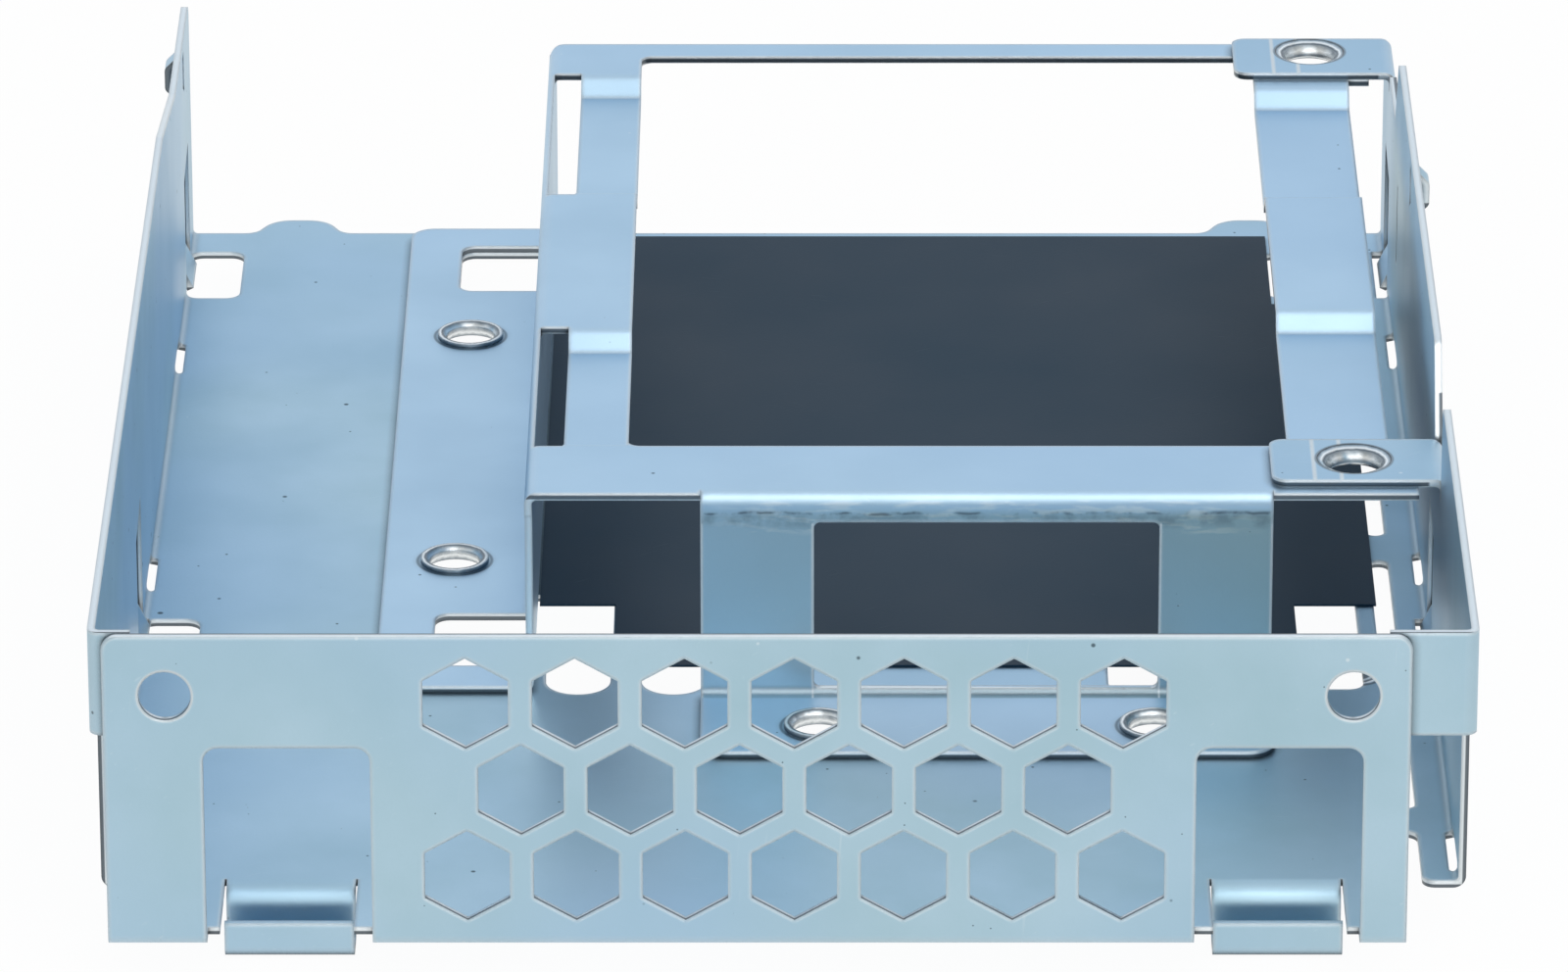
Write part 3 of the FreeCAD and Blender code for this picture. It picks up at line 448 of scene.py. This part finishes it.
def tray_torn_and_shade(tree, place):
    """Mask of the dark bands where the tray's sheared faces tore, which also paint shade along these edges.
    """
    x, y, z = tree.parts(place)
    from_side = tree.math("SUBTRACT", TRAY_HALF, tree.math("ABSOLUTE", x))
    from_under = tree.math("ADD", z, SHEET / MM)
    outer = tree.math("MINIMUM", tree.math("MINIMUM", from_side, y), from_under)
    at_rim = tree.ramp(z, RIM - 0.05, RIM + 0.05)
    torn_and_shade = tree.product(tree.ramp(outer, 0.26, 0.32, 1.0, 0.0), tree.math("SUBTRACT", 1.0, at_rim))
    rim = tree.product(at_rim, tree.between(y, *RIM_TORN_AND_SHADE, 0.03))
    ears = tree.product(tree.between(z, *EARS_TORN_AND_SHADE, 0.03), tree.ramp(from_side, 1.4, 1.6))
    return tree.largest(torn_and_shade, rim, ears)


def bracket_torn_and_shadow(tree, place):
    """Mask of the dark bands where the bracket's sheared faces tore; under the feet it is partly painted
    contact shadow.
    """
    z = tree.parts(place)[2]
    feet = tree.ramp(z, FOOT_TORN_AND_SHADOW - 0.03, FOOT_TORN_AND_SHADOW + 0.03, 1.0, 0.0)
    return tree.largest(feet, tree.between(z, *PLATE_TORN_AND_SHADE, 0.03))


# %% [markdown]
# ## Marks of the tools, painted highlights and painted shade
#
# Three marks belong to one place each. The corners of the two holes in the front wall get a ring of painted
# highlight. The bracket's leg was drawn down by the press. Its face gets painted shade, most of all on its
# right, and its corners get lines of painted highlight. The bending tool left a broken dark line across it,
# just under the bend. Each is a mask in space, set by a few measures.

# %% Tool marks, painted highlights and painted shade
# Dark colour of the specks and the tool mark, also used for the painted shade in crevices and round the
# collars.
SOOT_AND_SHADE = linear(30, 38, 46)
HOLES = ((-46.95, 20.4), (43.3, 20.4))          # across from the middle, and up
# Radii of the painted highlight ring round each hole.
HOLE_RIM = (2.02, 2.18)                         # radii
LEG_FACE = (43.0, 44.3)                         # back from the front face: only the leg's outer face
LEG_CORNERS = (-6.6, 2.25, 29.95, 38.8)         # sides of the leg and of its window
# Painted shade over the leg's face.
LEG_SHADE = (0.62, 0.63, 0.56, 1.0)
TOOL_LINE = (16.15, 16.4)
TOOL_SMUDGE = (15.2, 16.3)
print("tool line between", TOOL_LINE, "mm, on a leg", LEG_CORNERS[-1] - LEG_CORNERS[0], "mm wide")


def hole_rim_highlights(tree, place):
    """Mask of the painted highlight rings round the front wall's holes."""
    rims = 0.0
    for x, z in HOLES:
        flat = tree.vector("MULTIPLY", tree.vector("SUBTRACT", place, (x, 0, z)), (1, 0, 1))
        rims = tree.largest(rims, tree.between(tree.vector("LENGTH", flat), *HOLE_RIM, 0.04))
    return rims


def leg_corner_highlights(tree, place):
    """Mask of the painted highlight lines along the leg's sides and along its window's sides."""
    x, y, z = tree.parts(place)
    lines = 0.0
    for corner in LEG_CORNERS:
        lines = tree.largest(lines, tree.between(x, corner - 0.08, corner + 0.08, 0.04))
    return tree.product(lines, tree.between(y, *LEG_FACE, 0.02), tree.ramp(z, 15.3, 15.5, 1.0, 0.0))


def leg_shade_and_tool_mark(tree, place, coat):
    """The bracket's coat with painted shade over the leg, and the bending tool's mark."""
    x, y, z = tree.parts(place)
    face = tree.between(y, *LEG_FACE, 0.02)
    # Painted shade: the leg's face is darkened, most of all on its right.
    leg_shade = tree.product(face, tree.ramp(z, 16.0, 16.8, 1.0, 0.0), tree.ramp(x, -6.0, 39.0, 0.5, 1.0))
    coat = tree.mix(leg_shade, coat, LEG_SHADE, blend="MULTIPLY")

    wander = tree.ramp(tree.noise(place, 2.5, detail=2.0, seed=3.0), 0.0, 1.0, -0.35, 0.35)
    height = tree.math("ADD", z, wander)
    mark = tree.largest(tree.between(height, *TOOL_LINE, 0.08),
                        tree.product(tree.between(height, *TOOL_SMUDGE, 0.3), 0.45))
    broken = tree.ramp(tree.noise(place, 1.4, detail=4.0, seed=21.0), 0.42, 0.6)
    across = tree.between(x, LEG_CORNERS[0], LEG_CORNERS[-1], 0.02)
    return tree.mix(tree.product(mark, broken, face, across, 0.6), coat, SOOT_AND_SHADE)


# %% [markdown]
# ## Zinc-coated steel
#
# The finish is a metal, so its colour is the colour of its reflections. The coat comes first, with its clouds
# and specks. The sheared faces are laid over it in bare steel. So are the rolled corners, which is partly
# wear and partly a painted highlight, and the painted highlights that belong to one piece. The crevices, the
# dark bands on the cut edges and the lines round the collars get painted shade, and the collar mouths get
# painted highlights and reflections. A rolled corner is too narrow to show its own curve and reflects light
# from all round, as a white surface does, so the metal share drops there. Roughness and a very shallow bump
# follow the same masks, so that a mark is seen in the gloss as well as in the colour.

# %% Steel
BARE_STEEL = linear(226, 234, 239)
# Colour of the dark fracture bands, which also serves as painted shade along the cut edges.
FRACTURE_AND_SHADE = linear(58, 72, 84)
BUMP_DEPTH = 0.02 * MM


def coated_steel(name, tones, cloud_size, speck_share, rubs, torn_and_shade, painted_highlights, own_shade_and_marks=None, has_mouths=False):
    """Zinc-coated steel. The tones are its pale, deep and drifted colour. Each of the rubs is a middle, a
    half size and a fineness. The other calls give what only this piece has: its bands where the cut edges
    tore, which are partly painted shade, its own painted highlights, and for the bracket the leg's painted
    shade and tool mark."""
    material, tree, shader = new_material(name)
    pale, deep, drifted = (linear(*tone) for tone in tones)
    place = measured_place(tree)
    cloud = tree.group("clouds", Place=place, Size=cloud_size)
    marks = tree.group("handling_marks", Place=place, Spacing=4.0, Share=speck_share)
    edges = tree.group("edge_wear_highlight_and_crevice_shade", Radius=0.5 * MM, Reach=0.8 * MM)
    collar = tree.group("collar_reflections_and_shade", Place=place)
    sheared = tree.add("ShaderNodeAttribute", {"attribute_name": "sheared"}).outputs["Fac"]

    coat = tree.mix(cloud["Cloud"], deep, pale)
    coat = tree.mix(tree.product(cloud["Drift"], 0.6), coat, drifted)
    coat = tree.mix(tree.ramp(cloud["Grain"], 0.0, 1.0, 0.0, 0.16), coat, deep)
    coat = tree.mix(tree.product(marks["Scratches"], 0.14), coat, BARE_STEEL)
    coat = tree.mix(tree.product(marks["Specks"], 0.7), coat, SOOT_AND_SHADE)
    coat = tree.mix(tree.product(marks["Nicks"], 0.5), coat, BARE_STEEL)
    rub = 0.0
    for middle, half, fineness in rubs:
        spot = tree.group("rubbed_block", Place=place, Middle=middle, Half=half, Fineness=fineness)
        rub = tree.largest(rub, spot["Rub"])
    coat = tree.mix(tree.product(rub, 0.55), coat, BARE_STEEL)
    if own_shade_and_marks:
        coat = own_shade_and_marks(tree, place, coat)

    # The edges' mask joined with the piece's own painted highlights.
    bright = tree.largest(edges["Edge"], painted_highlights(tree, place))
    colour = tree.mix(sheared, coat, BARE_STEEL)
    # Bare steel on the edges: the worn edge, and a painted highlight.
    colour = tree.mix(tree.product(bright, 0.8), colour, BARE_STEEL)
    mouth = collar["Mouth"] if has_mouths else 0.0
    # Painted highlights and reflections on the collars' rolled lips.
    colour = tree.mix(mouth, colour, collar["Rings"])
    # Painted shade line round each collar.
    colour = tree.mix(tree.product(collar["Outline"], 0.55), colour, SOOT_AND_SHADE)
    # Dark bands on the cut edges: the real fracture, and painted shade.
    colour = tree.mix(tree.product(sheared, torn_and_shade(tree, place), 0.85), colour, FRACTURE_AND_SHADE)
    # Painted shade in the crevices.
    colour = tree.mix(tree.product(edges["Crevice"], 0.8), colour, SOOT_AND_SHADE)
    tree.put(shader.inputs["Base Color"], colour)
    # Where the edges carry the painted highlight, the metal share drops.
    tree.put(shader.inputs["Metallic"], tree.ramp(bright, 0.0, 1.0, 1.0, 0.35))

    rough = tree.ramp(cloud["Cloud"], 0.0, 1.0, 0.46, 0.38)
    for mask, change in ((sheared, -0.1), (mouth, -0.2), (rub, -0.1), (marks["Specks"], 0.25)):
        rough = tree.math("ADD", rough, tree.product(mask, change))
    tree.put(shader.inputs["Roughness"], rough)

    height = tree.product(cloud["Grain"], 0.35)
    for mask, change in ((marks["Specks"], -1.0), (marks["Scratches"], -0.5), (rub, 0.8)):
        height = tree.math("ADD", height, tree.product(mask, change))
    bump = tree.add("ShaderNodeBump", None, {
        "Strength": 0.5, "Distance": BUMP_DEPTH, "Height": height, "Normal": edges["Normal"]})
    tree.put(shader.inputs["Normal"], bump.outputs[0])
    print(name, "has", len(material.node_tree.nodes), "nodes")
    return material


# %% [markdown]
# ## The tray's steel and the bracket's
#
# The two were cut from different coils, so the bracket is a little paler and its clouds are wider. The
# tray has been handled more and has more specks. Its hooks are rubbed where they slide in the bay, and
# the bracket is rubbed over the leg's bend. Both come from one function, which keeps them one family.

# %% Two steels
TRAY_TONES = ((176, 204, 221), (164, 194, 208), (162, 194, 222))
BRACKET_TONES = ((183, 211, 232), (175, 203, 224), (171, 201, 227))
HOOK_RUBS = (((-38.1, -1.0, -1.7), (5.4, 3.0, 0.8), 1.0), ((38.1, -1.0, -1.7), (5.4, 3.0, 1.4), 1.6))
LEG_RUBS = (((16.0, 44.0, 15.9), (23.0, 1.2, 1.6), 0.8),)
tray_steel = coated_steel(
    "tray_steel", TRAY_TONES, 14.0, 0.8, HOOK_RUBS, tray_torn_and_shade, hole_rim_highlights, has_mouths=True)
bracket_steel = coated_steel(
    "bracket_steel", BRACKET_TONES, 18.0, 0.3, LEG_RUBS, bracket_torn_and_shadow, leg_corner_highlights, own_shade_and_marks=leg_shade_and_tool_mark)

# %% [markdown]
# ## Insulating film
#
# The film under the drive is a thin sheet of black polyester with a satin face. It is dark, but its
# gloss picks up the pale surroundings with a blue cast. Dust lies on it as tiny pale dots, and faint
# clouds change its gloss. The same groups as for the steel give both, with wider and fainter values.

# %% Film
FILM = linear(27, 48, 66)
FILM_WORN = linear(31, 54, 72)
DUST = linear(120, 134, 146)
FILM_SHEEN = (0.42, 0.74, 1.0, 1.0)


def film_finish(name):
    """Satin black film with faint clouds and dust."""
    material, tree, shader = new_material(name)
    place = measured_place(tree)
    cloud = tree.group("clouds", Place=place, Size=20.0)
    marks = tree.group("handling_marks", Place=place, Spacing=8.0, Share=0.3)
    colour = tree.mix(tree.product(cloud["Cloud"], 0.8), FILM, FILM_WORN)
    colour = tree.mix(tree.product(marks["Scratches"], 0.1), colour, DUST)
    colour = tree.mix(tree.product(marks["Nicks"], 0.5), colour, DUST)
    tree.put(shader.inputs["Base Color"], colour)
    rough = tree.ramp(cloud["Cloud"], 0.0, 1.0, 0.44, 0.52)
    tree.put(shader.inputs["Roughness"], tree.math("ADD", rough, tree.product(marks["Nicks"], 0.3)))
    shader.inputs["Specular IOR Level"].default_value = 0.2
    shader.inputs["Specular Tint"].default_value = FILM_SHEEN
    height = tree.math("ADD", tree.product(cloud["Grain"], 0.3), marks["Nicks"])
    bump = tree.add("ShaderNodeBump", None, {"Strength": 0.4, "Distance": BUMP_DEPTH, "Height": height})
    tree.put(shader.inputs["Normal"], bump.outputs[0])
    print(name, "has", len(material.node_tree.nodes), "nodes")
    return material


film_black = film_finish("insulating_film")

# %% [markdown]
# ## Putting the finishes on
#
# Each solid gets its one material. The two folded sheets also get the probe that marks their cut
# edges, as a modifier, so that the solids' own meshes stay as they were made. Only the tray has level
# broad faces over its collars' walls, so only there does the probe leave level faces out.

# %% Finishes
FINISHES = {"tray": tray_steel, "drive_bracket": bracket_steel, "insulator_sheet": film_black}
PROBED = {"tray": 51.9 * MM, "drive_bracket": 0.0}      # how far across level faces are left out
for node_name, finish in FINISHES.items():
    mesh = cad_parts[node_name].data
    mesh.materials.clear()
    mesh.materials.append(finish)
    print(node_name, "is finished in", finish.name)
for node_name, inside in PROBED.items():
    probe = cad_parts[node_name].modifiers.new("sheet_probe", "NODES")
    probe.node_group = sheet_probe(FINISHES[node_name], inside)
    for socket in probe.node_group.interface.items_tree:
        if socket.name == "Inside":
            probe[socket.identifier] = inside

# %% [markdown]
# ## Floor
#
# The caddy stands on a plain pale table in a studio. A white that comes from strong light would wash
# the steel out, so the table glows a little instead, but only for rays that come from the camera or
# from a mirroring surface. To all other rays it is a matt board, which keeps the caddy's shadow.

# %% Studio floor
FLOOR_SIZE = 6.0
FLOOR_GREY = (0.85, 0.85, 0.85, 1)
WHITE = (1, 1, 1, 1)
MIRRORED_FLOOR = (1.0, 0.985, 0.95, 1)
GLOW_SHARE = 0.93
GLOW_STRENGTH = 1.02


def plain_sight(tree):
    """Masks of the mirrored rays, and of those together with the camera's."""
    path = tree.add("ShaderNodeLightPath").outputs
    mirrored = tree.largest(path["Is Glossy Ray"], path["Is Transmission Ray"])
    return mirrored, tree.largest(path["Is Camera Ray"], mirrored)


bpy.ops.mesh.primitive_plane_add(size=FLOOR_SIZE, location=(0, 0, cad_low[2]))
floor = bpy.context.object
floor.name = "studio_floor"
floor_material, tree, floor_board = new_material("studio_floor")
floor_board.inputs["Base Color"].default_value = FLOOR_GREY
mirrored, seen = plain_sight(tree)
glow = tree.add("ShaderNodeEmission", None, {
    "Color": tree.mix(mirrored, WHITE, MIRRORED_FLOOR), "Strength": GLOW_STRENGTH})
mix = tree.add("ShaderNodeMixShader", None, {
    0: tree.product(seen, GLOW_SHARE), 1: floor_board.outputs[0], 2: glow.outputs[0]})
tree.put(floor_material.node_tree.nodes["Material Output"].inputs[0], mix.outputs[0])
floor.data.materials.append(floor_material)
print("floor at", round(cad_low[2] / MM, 2), "mm")

# %% [markdown]
# ## Camera
#
# The caddy is seen from straight ahead and from a little above, through a long lens, which keeps its
# side walls almost parallel. The camera is placed from the caddy's datum: back along the view by one
# distance and across it by another, so that it can be moved without changing the angle.

# %% Camera
CAMERA_TILT = math.radians(23.5)
LENS = 263.3
SENSOR = 36.0
AXIS_DISTANCE = 0.879       # from the camera to the target, along the view
AXIS_HEIGHT = -0.03426      # how far the target lies over the view's middle line
SHIFT = -0.016875
TARGET = Vector((0.00207, FRONT_FACE + 0.001, FLOOR_TOP))

camera_data = bpy.data.cameras.new("camera")
camera_data.lens = LENS
camera_data.sensor_width = SENSOR
camera_data.clip_end = 20
camera_data.shift_x = SHIFT
camera = bpy.data.objects.new("camera", camera_data)
bpy.context.collection.objects.link(camera)
forward = Vector((0, math.cos(CAMERA_TILT), -math.sin(CAMERA_TILT)))
upward = Vector((0, math.sin(CAMERA_TILT), math.cos(CAMERA_TILT)))
camera.location = TARGET - forward * AXIS_DISTANCE - upward * AXIS_HEIGHT
camera.rotation_euler = (math.pi / 2 - CAMERA_TILT, 0, 0)
bpy.context.scene.camera = camera
print("camera at", [round(part, 3) for part in camera.location], "m")

# %% [markdown]
# ## Light
#
# Metal shows the room round it more than the lamps. The room is a soft world that is a cool white
# behind the caddy and a dimmer, warmer grey in front, which gives the level faces their blue and the
# front wall its deeper tone. Two large lamps fill in from above and from the front. A third, small one
# is seen only in reflections, and draws the bright line along bends and corners that face up and
# forwards.

# %% Room
ROOM_STRENGTH = 0.65
ROOM_REAR = (0.86, 0.92, 0.98, 1)
ROOM_FRONT = (0.7, 0.69, 0.66, 1)

world = bpy.data.worlds.new("world")
bpy.context.scene.world = world
world.use_nodes = True
tree = Tree(world.node_tree)
direction = tree.add("ShaderNodeTexCoord").outputs["Generated"]
room = tree.mix(tree.ramp(tree.parts(direction)[1], -0.5, 0.5), ROOM_FRONT, ROOM_REAR)
lit = world.node_tree.nodes["Background"]
tree.put(lit.inputs["Color"], room)
tree.put(lit.inputs["Strength"], ROOM_STRENGTH)
mirrored, seen = plain_sight(tree)
backdrop = tree.add("ShaderNodeBackground", None, {
    "Color": tree.mix(mirrored, WHITE, room), "Strength": 1.0})
mix = tree.add("ShaderNodeMixShader", None, {0: seen, 1: lit.outputs[0], 2: backdrop.outputs[0]})
tree.put(world.node_tree.nodes["World Output"].inputs[0], mix.outputs[0])
print("room with", len(world.node_tree.nodes), "nodes")

# %% Lamps


def lamp(name, place, size, power):
    """A square lamp that points at the caddy's middle."""
    data = bpy.data.lights.new(name, "AREA")
    data.size = size
    data.energy = power
    made = bpy.data.objects.new(name, data)
    made.location = place
    made.rotation_euler = (-Vector(place)).to_track_quat("-Z", "Y").to_euler()
    bpy.context.collection.objects.link(made)
    print("lamp", name, "of", power, "W")
    return made


lamp("key", (0.3, -0.35, 0.8), 0.7, 1.5)
lamp("front", (0.0, -1.0, 0.3), 1.2, 4.0)
glint = lamp("glint", (0.05, -0.66, 0.8), 0.4, 1.1)
glint.visible_diffuse = False
glint.visible_camera = False
bpy.context.scene.view_settings.view_transform = "Standard"
